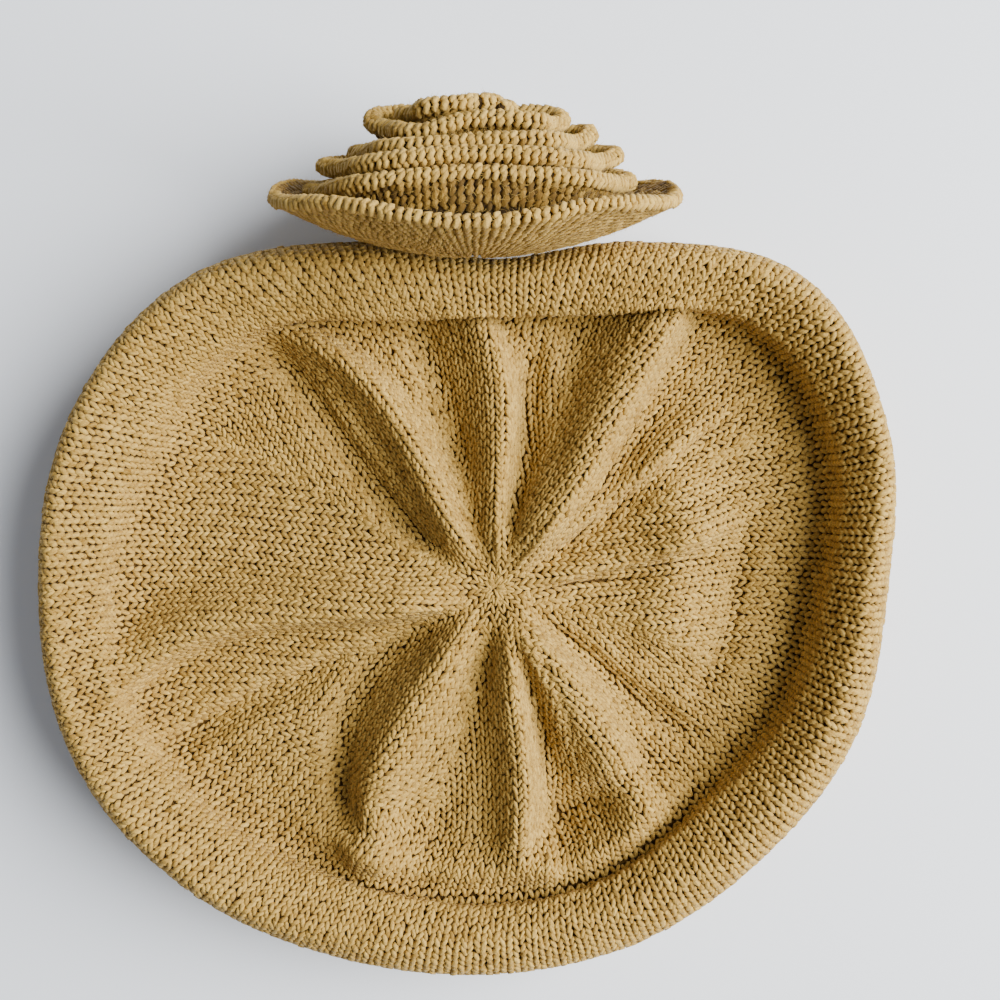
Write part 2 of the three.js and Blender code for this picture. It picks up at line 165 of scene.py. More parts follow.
# Pleats: azimuth at the gather, half way and at the foot, start, end, height, near and far width
PLEATS = [
    [133, 120, 128, 0.05, 1, 0.95, 0.65, 0.7],
    [155, 139, 133, 0.1, 1, -0.45, 0.4, 0.5],
    [102, 105, 106, 0.3, 1, -0.4, 0.6, 0.6],
    [88, 86, 94, 0.04, 1, 0.8, 0.5, 1],
    [79, 79, 82, 0.12, 0.85, -0.5, 0.55, 0.4],
    [47, 54, 57, 0.04, 1.05, 1.25, 0.6, 1.3],
    [62, 68, 72, 0.25, 0.98, -0.3, 0.7, 0.6],
    [34, 39, 36, 0.06, 0.8, 0.45, 0.3, 0.7],
    [30, 33, 30, 0.1, 0.7, -0.25, 0.5, 0.3],
    [8, 13, 17, 0.06, 0.75, 0.4, 0.3, 0.7],
    [3, 7, 10, 0.15, 0.7, -0.22, 0.5, 0.3],
    [-14, -12, -12, 0.2, 0.98, 0.2, 1.8, 1.4],
    [-46, -52, -57, 0.05, 0.92, 1, 1.1, 0.7],
    [-37, -39, -36, 0.1, 0.85, -0.4, 0.4, 0.5],
    [-58, -66, -70, 0.05, 0.6, 0.3, 0.35, 0.35],
    [-75, -80, -86, 0.05, 0.88, 0.9, 0.8, 0.5],
    [-67, -72, -76, 0.15, 0.98, -0.35, 0.4, 0.7],
    [-96, -100, -103, 0.1, 0.95, -0.15, 0.6, 0.5],
    [-125, -124, -114, 0.05, 1, 0.9, 0.8, 1.1],
    [207, 218, 250, 0.12, 0.88, -0.45, 0.6, 0.6],
    [202, 188, 193, 0.05, 1.15, 1, 1.3, 0.45],
    [211, 205, 206, 0.3, 1.15, -0.35, 0.3, 0.6],
]

# Tucks, bulges and hollows round the crown: azimuth from and to, radius, height, width
TUCKS = [
    [225, 292, 0.93, 0.35, 0.55],
    [272, 320, 0.95, 0.5, 0.65],
    [274, 318, 0.8, -0.45, 0.65],
    [-26, 46, 0.58, 0.62, 1.3],
    [-34, 22, 0.8, -0.25, 0.45],
]

# Gores of the crown, in which the stitches run side by side: azimuth of the middle at the gather,
# half way and at the rim
GORES = [
    [6, 8, 5],
    [47, 52, 52],
    [88, 88, 92],
    [133, 125, 131],
    [182, 178, 180],
    [235, 234, 231],
    [282, 279, 273],
    [320, 317, 313],
]

# Strips of the rose. Each loop has its turn, its width in turns, and how far it leans out and rises
STRIPS = {
    "flower_ruffle": {
        "turns": (0.35, 4.75),
        "radius": (0.77, 0.23),
        "rise": (0.14, 0.92),
        "waves": 5,
        "swing": 1.0,
        "flare": 0.08,
        "loops": [
            [0.75, 0.17, -0.07, -0.02],
            [1.46, 0.1, 0.04, 0.07],
            [2.04, 0.07, 0.05, 0.07],
            [2.72, 0.1, -0.02, -0.06],
            [3.05, 0.06, 0.04, 0.09],
            [3.4, 0.11, 0.05, 0.2],
            [3.66, 0.05, -0.03, -0.08],
            [4.1, 0.06, 0.05, 0.07],
        ],
        "cloth_steps": 240,
        "first_course": 0.4,
    },
    "flower_heart": {
        "turns": (0.9, 2.2),
        "radius": (0.14, 0.05),
        "rise": (0.9, 0.97),
        "waves": 3,
        "swing": 0.5,
        "flare": 0.03,
        "loops": [[1.2, 0.08, 0.02, 0.05]],
        "cloth_steps": 60,
        "first_course": 0.5,
    },
}


# Form of the hat


def catmull_rom(a, b, c, d, t):
    return 0.5 * (
        2 * b + (c - a) * t + (2 * a - 5 * b + 4 * c - d) * t**2 + (3 * b - a - 3 * c + d) * t**3
    )


def smooth_step(value):
    t = np.clip(value, 0, 1)
    return t * t * (3 - 2 * t)


def mix(a, b, t):
    return a + (b - a) * t


def section_at(azimuth):
    """Outline, crest, foot, lip, top and floor at each azimuth."""
    count = len(SECTIONS)
    place = (azimuth % 360.0) / (360.0 / count)
    index = np.floor(place).astype(int)
    rows = [SECTIONS[(index + step) % count] for step in (-1, 0, 1, 2)]
    shares = catmull_rom(*rows, (place - index)[..., None])
    outline = shares[..., 0] * HAT_RADIUS
    crest = outline - shares[..., 1] * RIM_WIDTH
    foot = crest - shares[..., 2] * WALL_WIDTH
    top = shares[..., 4] * RIM_HEIGHT
    return outline, crest, foot, shares[..., 3] * LIP_REACH, top, shares[..., 5] * FLOOR_HEIGHT


def circle_from_gather(radius, azimuth):
    """Distance from the gather to a circle round the middle of the head opening."""
    angle = np.radians(azimuth)
    along = GATHER_OFFSET[0] * np.cos(angle) + GATHER_OFFSET[1] * np.sin(angle)
    return -along + np.sqrt(along**2 + radius**2 - GATHER_OFFSET @ GATHER_OFFSET)


def pleat_rise(azimuth, radius, foot):
    share = np.minimum(radius / foot, 1.6)
    rise = 0
    for gather, middle, end_line, start, end, height, near, far in PLEATS:
        line = (
            gather * (1 - share) * (1 - 2 * share)
            + middle * 4 * share * (1 - share)
            + end_line * share * (2 * share - 1)
        )
        turn = (azimuth - line + 180) % 360 - 180
        across = np.radians(turn) * share * foot
        narrowing = np.minimum(1, 0.35 + 1.6 * share)
        width = np.where(across > 0, far, near) * PLEAT_WIDTH * narrowing
        grown = smooth_step((share - start) / PLEAT_RAMP)
        left = 1 - smooth_step((share - end + PLEAT_RAMP / 2) / PLEAT_RAMP)
        shape = np.exp(-np.abs(across / width) ** PLEAT_CRISPNESS)
        rise = rise + height * PLEAT_HEIGHT * grown * left * shape
    for low, high, place, height, width in TUCKS:
        turn = (azimuth - low) % 360
        window = smooth_step(turn / TUCK_RAMP) * smooth_step((high - low - turn) / TUCK_RAMP)
        off = (radius - place * foot) / (width * PLEAT_WIDTH)
        rise = rise + height * PLEAT_HEIGHT * window * np.exp(-(off**2))
    return rise


def profile_at(azimuth):
    """Control points of the section at each azimuth, from the gather over the rim to the hem."""
    outline, crest, foot, lip, top, floor = section_at(azimuth)
    edge = circle_from_gather(OPENING_RADIUS + BAND_WIDTH + SEWN_GAP, azimuth)
    contact = outline - HEM_RADIUS
    zero = 0 * outline
    points = [
        (zero, zero + GATHER_HEIGHT),
        (0.3 * foot, mix(GATHER_HEIGHT, floor, 0.3)),
        (0.65 * foot, mix(GATHER_HEIGHT, floor, 0.78)),
        (foot, floor),
        (foot + 0.45 * (crest - foot) - lip, floor + 0.62 * (top - floor)),
        (crest, top),
        (outline - 0.28 * (outline - crest), GIRTH_HEIGHT + 0.72 * (top - GIRTH_HEIGHT)),
        (outline, zero + GIRTH_HEIGHT),
        (outline - 0.28 * HEM_RADIUS, zero + HEM_RADIUS),
        (contact, zero),
        ((contact + edge) / 2, zero),
        (edge, zero),
    ]
    points.insert(0, (-points[1][0], points[1][1]))
    points.append((2 * points[-1][0] - points[-2][0], zero))
    return np.stack([p[0] for p in points]), np.stack([p[1] for p in points]), foot


def section_point(radii, heights, station):
    index = np.clip(np.floor(station).astype(int), 0, 10)
    t = station - index

    def pick(values, step):
        return np.take_along_axis(values, (index + step)[None], 0)[0]

    radius = catmull_rom(*[pick(radii, step) for step in range(4)], t)
    height = catmull_rom(*[pick(heights, step) for step in range(4)], t)
    return radius, np.maximum(height, 0)


def hat_point(azimuth, station):
    """Points of the outer face in millimetres, measured from below the gather."""
    azimuth, station = np.broadcast_arrays(np.asarray(azimuth, float), np.asarray(station, float))
    radii, heights, foot = profile_at(azimuth)
    radius, height = section_point(radii, heights, station)
    fading = 1 - smooth_step((station - 3) / 1.6)
    height = height + pleat_rise(azimuth, radius, foot) * fading
    angle = np.radians(azimuth)
    return np.stack([radius * np.cos(angle), radius * np.sin(angle), height], -1)


def unit(vectors):
    return vectors / np.maximum(np.linalg.norm(vectors, axis=-1, keepdims=True), 1e-9)


def hat_normal(azimuth, station):
    ahead = hat_point(azimuth, np.minimum(station + 0.01, 11))
    along = ahead - hat_point(azimuth, np.maximum(station - 0.01, 0))
    across = hat_point(azimuth + 0.2, station) - hat_point(azimuth - 0.2, station)
    return unit(np.cross(along, across))


# Meshes


def make_mesh(name, vertices, faces, material, attributes):
    """A smooth-shaded mesh of triangles, from flat arrays in the hat's own millimetres."""
    mesh = bpy.data.meshes.new(name)
    mesh.vertices.add(len(vertices))
    mesh.vertices.foreach_set("co", (vertices * MM + ORIGIN).astype(np.float32).ravel())
    mesh.loops.add(faces.size)
    mesh.loops.foreach_set("vertex_index", faces.astype(np.int32).ravel())
    mesh.polygons.add(len(faces))
    mesh.polygons.foreach_set("loop_start", np.arange(0, faces.size, 3, dtype=np.int32))
    mesh.polygons.foreach_set("use_smooth", np.ones(len(faces), dtype=bool))
    mesh.update(calc_edges=True)
    for label, values in attributes.items():
        layer = mesh.attributes.new(label, "FLOAT", "POINT")
        layer.data.foreach_set("value", values.astype(np.float32))
    mesh.materials.append(material)
    piece = bpy.data.objects.new(name, mesh)
    bpy.context.scene.collection.objects.link(piece)
    return piece


def ring_body(rings, poles=None):
    """Vertices and quads of a body from closed rings. Without poles the last ring joins the first."""
    count, size = rings.shape[:2]
    joins = count - 1 if poles is not None else count
    ring = np.arange(joins)[:, None]
    place = np.arange(size)[None]
    after = (place + 1) % size
    following = (ring + 1) % count
    corners = [ring * size + place, following * size + place, following * size + after, ring * size + after]
    quads = np.stack(np.broadcast_arrays(*corners), -1).reshape(-1, 4)
    vertices = rings.reshape(-1, 3)
    if poles is None:
        return vertices, quads, np.zeros((0, 3), int)
    first, last = len(vertices), len(vertices) + 1
    vertices = np.concatenate([vertices, poles])
    around, onward = np.arange(size), (np.arange(size) + 1) % size
    start = (count - 1) * size
    caps = [np.stack([around * 0 + first, around, onward], -1)]
    caps.append(np.stack([around * 0 + last, start + onward, start + around], -1))
    return vertices, quads, np.concatenate(caps)


def make_body(name, rings, poles, material):
    vertices, quads, caps = ring_body(rings, poles)
    faces = np.concatenate([quads[:, [0, 1, 2]], quads[:, [0, 2, 3]], caps])
    return make_mesh(name, vertices, faces, material, {})


# Legs of the stitches

# A leg is a closed grain: two tips and two rings of five, with the ring's seam underneath
RING_PLACES = np.array([-0.6, 0.58])
RING_SIDES = 5


def leg_template():
    """Places along, beside and above a leg's middle, turn round it, and triangles."""
    share = np.arange(RING_SIDES) / RING_SIDES
    turn = share * 2 * np.pi - np.pi / 2
    rings = len(RING_PLACES)
    along = np.concatenate([[-1.0], np.repeat(RING_PLACES, RING_SIDES), [1.0]])
    side = np.concatenate([[0.0], np.tile(np.cos(turn), rings), [0.0]])
    up = np.concatenate([[0.0], np.tile(np.sin(turn), rings), [0.0]])
    around = np.concatenate([[0.5], np.tile(share, rings), [0.5]])
    last = 1 + (rings - 1) * RING_SIDES
    faces = []
    for i in range(RING_SIDES):
        j = (i + 1) % RING_SIDES
        faces.append([0, 1 + j, 1 + i])
        for ring in range(rings - 1):
            a, b = 1 + ring * RING_SIDES + i, 1 + ring * RING_SIDES + j
            faces += [[a, b, b + RING_SIDES], [a, b + RING_SIDES, a + RING_SIDES]]
        faces.append([last + i, last + j, last + RING_SIDES])
    return along, side, up, around, np.array(faces)


class Legs:
    """Grains collected from columns of stitches."""

    def __init__(self):
        self.rows = []

    def column(self, path, normals, half_widths, sign, course=COURSE, shift=0.0, lift=0.0, painted_shading=0.0):
        """Lays one column along a path, counted from its end. sign is the way and amount of the slant. The
        tones along the path are painted shade and painted light, added to each stitch's tone.
        """
        steps = np.linalg.norm(np.diff(path, axis=0), axis=1)
        length = np.concatenate([[0], np.cumsum(steps)])
        count = int(length[-1] / course + 0.5)
        if count < 1:
            return
        places = length[-1] - course * (0.5 + np.arange(count))

        def sample(values, onward=0.0):
            return np.stack([np.interp(places + onward, length, values[:, k]) for k in range(3)], -1)

        centre = sample(path)
        along = unit(sample(path, 0.6) - sample(path, -0.6))
        normal = unit(sample(normals))
        along = unit(along - (along * normal).sum(-1, keepdims=True) * normal)
        across = np.cross(normal, along)
        half = np.interp(places, length, half_widths)
        centre = centre + across * (shift * half)[:, None] + normal * lift
        turned = sign * np.minimum(1, half / LEG_MERGING)
        # painted shade on the rose's walls and painted light on its rims, taken along the path
        tone_with_painted_shading = np.interp(places, length, np.broadcast_to(painted_shading, len(path)))
        half = np.maximum(half, LEG_LEAST)
        sizes = np.stack([half, turned, tone_with_painted_shading], -1)
        self.rows.append(np.concatenate([centre, along, across, normal, sizes], axis=1))

    def arrays(self, keep=None):
        """Vertices, triangles and attributes of the legs whose rows are kept."""
        rows = np.concatenate(self.rows)
        if keep is not None:
            rows = rows[keep(rows)]
        count = len(rows)
        centre, along, across, normal = (rows[:, i : i + 3] for i in (0, 3, 6, 9))
        half, sign = rows[:, 12], rows[:, 13]
        angle = LEG_SLANT * sign * random.normal(1, SLANT_SPREAD, count)
        lengthwise = np.cos(angle)[:, None] * along - np.sin(angle)[:, None] * across
        sideways = np.cross(normal, lengthwise)
        for direction, spread in zip((across, along, normal), PLACE_SPREADS):
            centre = centre + direction * random.normal(0, spread, count)[:, None]
        t_along, t_side, t_up, t_around, faces = leg_template()
        reach = LEG_HALF_LENGTH * random.normal(1, LENGTH_SPREAD, count)
        width = half * random.normal(1, WIDTH_SPREAD, count)
        height = LEG_HALF_HEIGHT * random.normal(1, WIDTH_SPREAD, count)
        sink = -LEG_SINK * t_along**2
        vertices = (
            centre[:, None]
            + (reach[:, None] * t_along)[..., None] * lengthwise[:, None]
            + (width[:, None] * t_side)[..., None] * sideways[:, None]
            + (height[:, None] * t_up + sink)[..., None] * normal[:, None]
        )
        vertices[..., 2] = np.maximum(vertices[..., 2], FLOOR_GAP)
        triangles = faces[None] + (np.arange(count) * len(t_along))[:, None, None]
        # each stitch's random tone, plus the painted shade or painted light laid along its column
        tone_with_painted_shading = np.repeat(random.normal(0, 1, count) + rows[:, 14], len(t_along))
        places = {"tone_with_painted_shading": tone_with_painted_shading, "lay": np.tile(t_along, count)}
        places["around"] = (t_around[None] + YARN_TWIST * t_along[None] * np.sign(sign)[:, None]).ravel()
        return vertices.reshape(-1, 3), triangles.reshape(-1, 3), places

    def piece(self, name, material, keep=None):
        vertices, faces, places = self.arrays(keep)
        return make_mesh(name, vertices, faces, material, places)


def fibres(name, legs, material, share, keep=None, length=2.6, width=0.06):
    """Loose fibres: thin bent ribbons that leave the legs at a low angle. share is how many a leg has."""
    rows = np.concatenate(legs.rows)
    if keep is not None:
        rows = rows[keep(rows)]
    rows = np.repeat(rows, math.ceil(share), axis=0)
    rows = rows[random.random(len(rows)) < share / math.ceil(share)]
    count = len(rows)
    centre, along, across, normal = (rows[:, i : i + 3] for i in (0, 3, 6, 9))
    heading = random.uniform(0, 2 * np.pi, count)[:, None]
    lean = np.cos(heading) * along + np.sin(heading) * across
    side = np.cross(normal, lean)
    curl = random.normal(0, FIBRE_CURL, count)[:, None]
    reach = length * random.uniform(*FIBRE_REACH, count)[:, None]
    rise = random.uniform(*FIBRE_RISE, count)[:, None]

    def at(t):
        out = reach * (lean * t + side * curl * 0.6 * t**2)
        return centre + out + normal * (FIBRE_START + reach * rise * (t - 0.35 * t**2))

    points = []
    for t in (0.0, 0.55):
        half = side * width / 2 * (1 - 0.4 * t)
        points += [at(t) - half, at(t) + half]
    points.append(at(1.0))
    vertices = np.stack(points, 1)
    vertices[..., 2] = np.maximum(vertices[..., 2], FLOOR_GAP)
    pattern = np.array([[0, 1, 3], [0, 3, 2], [2, 3, 4]])
    faces = pattern[None] + (np.arange(count) * len(points))[:, None, None]
    tone_with_painted_shading = np.repeat(random.normal(1.6, 0.8, count), len(points))
    places = {"tone_with_painted_shading": tone_with_painted_shading, "lay": tone_with_painted_shading * 0, "around": tone_with_painted_shading * 0}
    return make_mesh(name, vertices.reshape(-1, 3), faces.reshape(-1, 3), material, places)


# Columns of the crown


def knit_table():
    """Stations along the section, a row for each degree and a column for each step to the crest."""
    grid = np.arange(0, 361, 1.0)
    stations = np.linspace(0, 5, 251)
    radius, height = section_curve(grid[:, None], stations[None])
    _, crest, foot, _, _, _ = section_at(grid)
    step = np.hypot(np.diff(radius, axis=1), np.diff(height, axis=1))
    length = np.concatenate([np.zeros((len(grid), 1)), np.cumsum(step, axis=1)], axis=1)
    third = np.searchsorted(stations, 3.0)
    share = (length - length[:, third : third + 1]) / (length[:, -1:] - length[:, third : third + 1])
    knit = np.where(stations[None] <= 3, radius, foot[:, None] + (crest - foot)[:, None] * share)
    knit = np.maximum.accumulate(knit, axis=1) + stations[None] * 1e-6
    shares = np.linspace(0, 1, KNIT_STEPS + 1)
    return np.stack([np.interp(shares, knit[i] / knit[i, -1], stations) for i in range(len(grid))])


def section_curve(azimuth, station):
    """Radius and height of the section, without its pleats."""
    azimuth, station = np.broadcast_arrays(azimuth, station)
    radii, heights, _ = profile_at(azimuth)
    return section_point(radii, heights, station)


def station_for(table, azimuth, share):
    column = np.clip(share, 0, 1) * KNIT_STEPS
    row = azimuth % 360
    i, j = np.floor(row).astype(int), np.minimum(np.floor(column).astype(int), KNIT_STEPS - 1)
    s, t = row - i, column - j
    low = mix(table[i, j], table[i, j + 1], t)
    high = mix(table[i + 1, j], table[i + 1, j + 1], t)
    return mix(low, high, s)


def gore_line(row, share):
    gather, middle, rim = row
    return (
        gather * (1 - share) * (1 - 2 * share)
        + middle * 4 * share * (1 - share)
        + rim * share * (2 * share - 1)
    )


def crown_legs():
    """Columns of the crown. They run side by side in each gore, then widen together over the rim."""
    legs = Legs()
    table = knit_table()
    shares = np.concatenate([np.linspace(0.015, 0.12, 30)[:-1], np.linspace(0.12, 1, 230)])
    rim = np.linspace(5, 11, 260)[1:]
    grid = np.arange(-60, 420.1, 0.5)
    stations = station_for(table, grid[None], shares[:, None])
    across = np.linalg.norm(np.diff(hat_point(grid[None], stations), axis=1), axis=-1)
    lengths = np.concatenate([np.zeros((len(shares), 1)), np.cumsum(across, axis=1)], axis=1)
    rows = np.arange(len(shares))

    def length_at(azimuth):
        place = (azimuth - grid[0]) * 2
        index = np.floor(place).astype(int)
        return mix(lengths[rows, index], lengths[rows, index + 1], place - index)

    def azimuth_at(length):
        return np.array([np.interp(length[i], lengths[i], grid) for i in rows])

    lines = [gore_line(np.array(row, float), shares) for row in GORES]
    count = len(lines)
    parallel = np.searchsorted(shares, PARALLEL_SHARE)
    for g in range(count):
        middle = lines[g]
        before = lines[g - 1] - (360 if g == 0 else 0)
        after = lines[(g + 1) % count] + (360 if g == count - 1 else 0)
        centre = length_at(middle)
        for side, bound in ((-1, (before + middle) / 2), (1, (after + middle) / 2)):
            reach = np.abs(length_at(bound) - centre)
            number = max(1, round(reach[parallel] / WALE))
            pitch = reach[parallel] / number
            widening = reach / reach[parallel]
            widening = np.where(rows > parallel, widening, np.maximum(widening, 1.0))
            for j in range(number):
                offset = (j + 0.5) * pitch * widening
                if j == 0:
                    offset = np.minimum(offset, reach / 2)
                inside = offset < reach + 0.3 * pitch
                first = np.argmax(inside)
                bearing = azimuth_at(centre + side * offset)[first:]
                station = np.concatenate([station_for(table, bearing, shares[first:]), rim])
                bearing = np.concatenate([bearing, np.full(len(rim), bearing[-1])])
                path = hat_point(bearing, station)
                normals = hat_normal(bearing, station)
                inner = len(shares) - first
                width = pitch * widening[first:]
                if j == 0:
                    width = np.minimum(width, reach[first:])
                flat = np.hypot(path[:, 0], path[:, 1])
                width = np.concatenate([width, width[-1] * flat[inner:] / flat[inner - 1]])
                half = width / 4 * LEG_FULLNESS
                for leg in (-1, 1):
                    legs.column(path, normals, half, leg, shift=leg / LEG_FULLNESS, lift=-LEG_DEPTH)
    return legs


# Form of the rose


def stack_point(*values):
    return np.stack(np.broadcast_arrays(*values), -1)


def rose_point(share, angle, height):
    """A point over the oval of the cup, at a share of the way from its middle to its rim."""
    across, along = share * ROSE_HALF_WIDTH * np.cos(angle), share * ROSE_HALF_HEIGHT * np.sin(angle)
    return stack_point(across, along, height)


def cup_point(share, angle, offset):
    wave = CUP_WAVE * share**3 * np.sin(CUP_WAVES * angle)
    sag = CUP_SAG * share**2 * np.maximum(0, -np.sin(angle)) ** 2
    height = -CUP_DEPTH * (1 - share**2) + wave - sag + offset
    return rose_point(share, angle, height)


def to_hat(points, turn, place):
    return points @ turn.T + place


def rose_place():
    """Turn and place of the rose in the hat's own millimetres."""
    sine, cosine = math.sin(ROSE_TILT), math.cos(ROSE_TILT)
    turn = np.array([[1, 0, 0], [0, sine, cosine], [0, -cosine, sine]])
    angle = np.radians(np.arange(0, 360, 6.0))
    rim = cup_point(1 + CUP_THICKNESS / ROSE_HALF_WIDTH / 2, angle, 0.0)
    sides = [cup_point(np.ones_like(angle), angle, CUP_THICKNESS / 2 * k) for k in (-1, 1)]
    furthest = max((p @ turn.T)[:, 1].max() for p in (rim, *sides))
    back = (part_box("flower_base")[1][1] - ORIGIN[1]) / MM
    place = np.array([ROSE_SIDE, back - furthest, ROSE_HALF_HEIGHT * cosine + CUP_THICKNESS])
    return turn, place


def strip_line(strip, along):
    """Share of the cup, angle, top, and the free edge's leans of a strip at places along it."""
    turn = mix(*strip["turns"], along)
    angle = 2 * np.pi * turn
    share = mix(*strip["radius"], along)
    out, up = 0, 0
    for middle, width, leaning, rising in strip["loops"]:
        bump = np.exp(-(((turn - middle) / width) ** 2))
        out = out + bump * leaning
        up = up + bump * rising
    top = RUFFLE_RISE * (mix(*strip["rise"], along) + up) - RUFFLE_LIFT * np.cos(2 * angle) * share
    wave = strip["swing"] * RUFFLE_SWING * np.sin(strip["waves"] * angle) / ROSE_HALF_WIDTH
    return share, angle, top, strip["flare"] + wave, out


def strip_point(strip, along, up):
    """Points on the middle of a strip, from its foot in the cup to its free edge."""
    share, angle, top, lean, out = strip_line(strip, along)
    reach = share + up**2 * lean + up**4 * out
    foot = cup_point(reach, angle, CUP_THICKNESS / 2 + SEWN_GAP)[..., 2]
    height = mix(foot, top - RUFFLE_THICKNESS / 2, up)
    return rose_point(reach, angle, height)


def strip_frame(strip, along, up):
    """Directions along a strip, up it and out of its face."""
    ahead, behind = strip_point(strip, along + 0.0005, up), strip_point(strip, along - 0.0005, up)
    above, below = strip_point(strip, along, up + 0.01), strip_point(strip, along, up - 0.01)
    lengthwise, upward = unit(ahead - behind), unit(above - below)
    return lengthwise, upward, unit(np.cross(lengthwise, upward))


def strip_side(strip, along, depth, low=0.0, steps=18, arc=13):
    """A path over a strip at one place along it: up one face, round its rolled edge, down the other."""
    height = float(strip_point(strip, along, 1.0)[2] - strip_point(strip, along, 0.0)[2])
    roll = ROLL_RADIUS - depth
    wall = max(WALL_HALF - depth, 0.15)
    ups = np.linspace(low, 1 - RUFFLE_THICKNESS * 0.55 / height, steps)
    middle = strip_point(strip, along, ups)
    _, _, normal = strip_frame(strip, along, ups)
    _, upward, out = (v[None] for v in strip_frame(strip, along, 1.0))
    bend = np.radians(np.linspace(ROLL_FROM, ROLL_TO, arc))[:, None]
    round_normals = np.cos(bend) * out + np.sin(bend) * upward
    edge = strip_point(strip, along, 1.0)[None] + round_normals * roll
    path = np.concatenate([middle + normal * wall, edge, (middle - normal * wall)[::-1]])
    # painted shade on the walls below the rolled edge, painted light on the edge itself
    wall_painted_shade = np.full(steps, PAINTED_WALL_SHADE)
    painted_shading = np.concatenate([wall_painted_shade, np.full(arc, PAINTED_EDGE_LIGHT), wall_painted_shade])
    return path, np.concatenate([normal, round_normals, -normal[::-1]]), painted_shading


def strip_length(strip, samples=800):
    """Places along a strip, and how far along its free edge each is."""
    along = np.linspace(0, 1, samples)
    edge = strip_point(strip, along, 1.0)
    return along, np.concatenate([[0], np.cumsum(np.linalg.norm(np.diff(edge, axis=0), axis=1))])


def strip_legs(strip, turn, place):
    legs = Legs()
    along, length = strip_length(strip)
    for j in range(int(length[-1] / ROSE_COLUMN)):
        at = float(np.interp((j + 0.5) * ROSE_COLUMN, length, along))
        path, normals, painted_shading = strip_side(strip, at, LEG_DEPTH, strip["first_course"])
        path, normals = to_hat(path, turn, place), normals @ turn.T
        half = np.full(len(path), ROSE_COLUMN / 2 * STRIP_FULLNESS)
        legs.column(path, normals, half, STRIP_SLANT, course=ROSE_COURSE, painted_shading=painted_shading)
    return legs


def strip_body(name, strip, turn, place, material):
    places = np.linspace(0, 1, strip["cloth_steps"])
    rings = np.array([strip_side(strip, at, ROSE_CLOTH_DEPTH, steps=7, arc=5)[0] for at in places])
    poles = np.stack([rings[0].mean(0), rings[-1].mean(0)])
    return make_body(name, to_hat(rings, turn, place), to_hat(poles, turn, place), material)


def cup_normal(share, angle, side):
    """Direction out of the cup's front (side 1) or back (side -1)."""
    slope = 2 * CUP_DEPTH * share + 3 * CUP_WAVE * share**2 * np.sin(CUP_WAVES * angle)
    across = np.array([np.cos(angle) / ROSE_HALF_WIDTH, np.sin(angle) / ROSE_HALF_HEIGHT]) * slope
    return unit(np.append(across, -1.0)) * -side


def cup_legs(turn, place):
    """Columns over the cup: from the middle of its back, over the rim and down its front."""
    legs = Legs()
    half, roll = CUP_THICKNESS / 2 - LEG_DEPTH, CUP_ROLL_RADIUS - LEG_DEPTH
    bend = np.linspace(0, np.pi, 9)[1:-1]
    for j in range(CUP_COLUMNS):
        angle = 2 * np.pi * (j + 0.5) / CUP_COLUMNS
        start = CUP_BACK_STARTS[j % len(CUP_BACK_STARTS)]
        points, normals = [], []
        for side, shares in ((-1, np.linspace(start, 1, 30)), (1, np.linspace(1, CUP_FRONT_END, 18))):
            outward = np.array([cup_normal(share, angle, side) for share in shares])
            points.append(np.array([cup_point(share, angle, 0.0) for share in shares]) + outward * half)
            normals.append(outward)
        radial = unit(np.array([np.cos(angle), np.sin(angle), 0.35]))
        over = np.array([unit(np.cos(b) * normals[0][-1] + np.sin(b) * radial) for b in bend])
        edge = cup_point(1.0, angle, 0.0) + over * roll
        path = np.concatenate([points[0], edge, points[1]])
        facing = np.concatenate([normals[0], over, normals[1]])
        half_width = np.pi * np.hypot(path[:, 0], path[:, 1]) / CUP_COLUMNS * LEG_FULLNESS
        # painted light on the cup's rim and painted shade on its front
        painted_shading = np.repeat([0.0, PAINTED_EDGE_LIGHT, PAINTED_WALL_SHADE], [len(points[0]), len(edge), len(points[1])])
        path, facing = to_hat(path, turn, place), facing @ turn.T
        legs.column(path, facing, half_width, CUP_SLANT, course=ROSE_COURSE, painted_shading=painted_shading)
    return legs


def cup_body(name, turn, place, material):
    half = CUP_THICKNESS / 2 - ROSE_CLOTH_DEPTH
    angle = np.arange(120) / 120 * 2 * np.pi
    shares = np.linspace(0.12, 1, 14)
    front = [cup_point(s, angle, half) for s in shares]
    back = [cup_point(s, angle, -half) for s in shares[::-1]]
    edge = [cup_point(1 + half / ROSE_HALF_WIDTH, angle, 0.0)]
    rings = np.array(front + edge + back)
    poles = np.array([[0, 0, half - CUP_DEPTH], [0, 0, -half - CUP_DEPTH]])
    return make_body(name, to_hat(rings, turn, place), to_hat(poles, turn, place), material)


# Band round the head opening


def band_point(radius, azimuth, height):
    angle = np.radians(azimuth)
    reach = circle_from_gather(radius, azimuth)
    return stack_point(reach * np.cos(angle), reach * np.sin(angle), height)


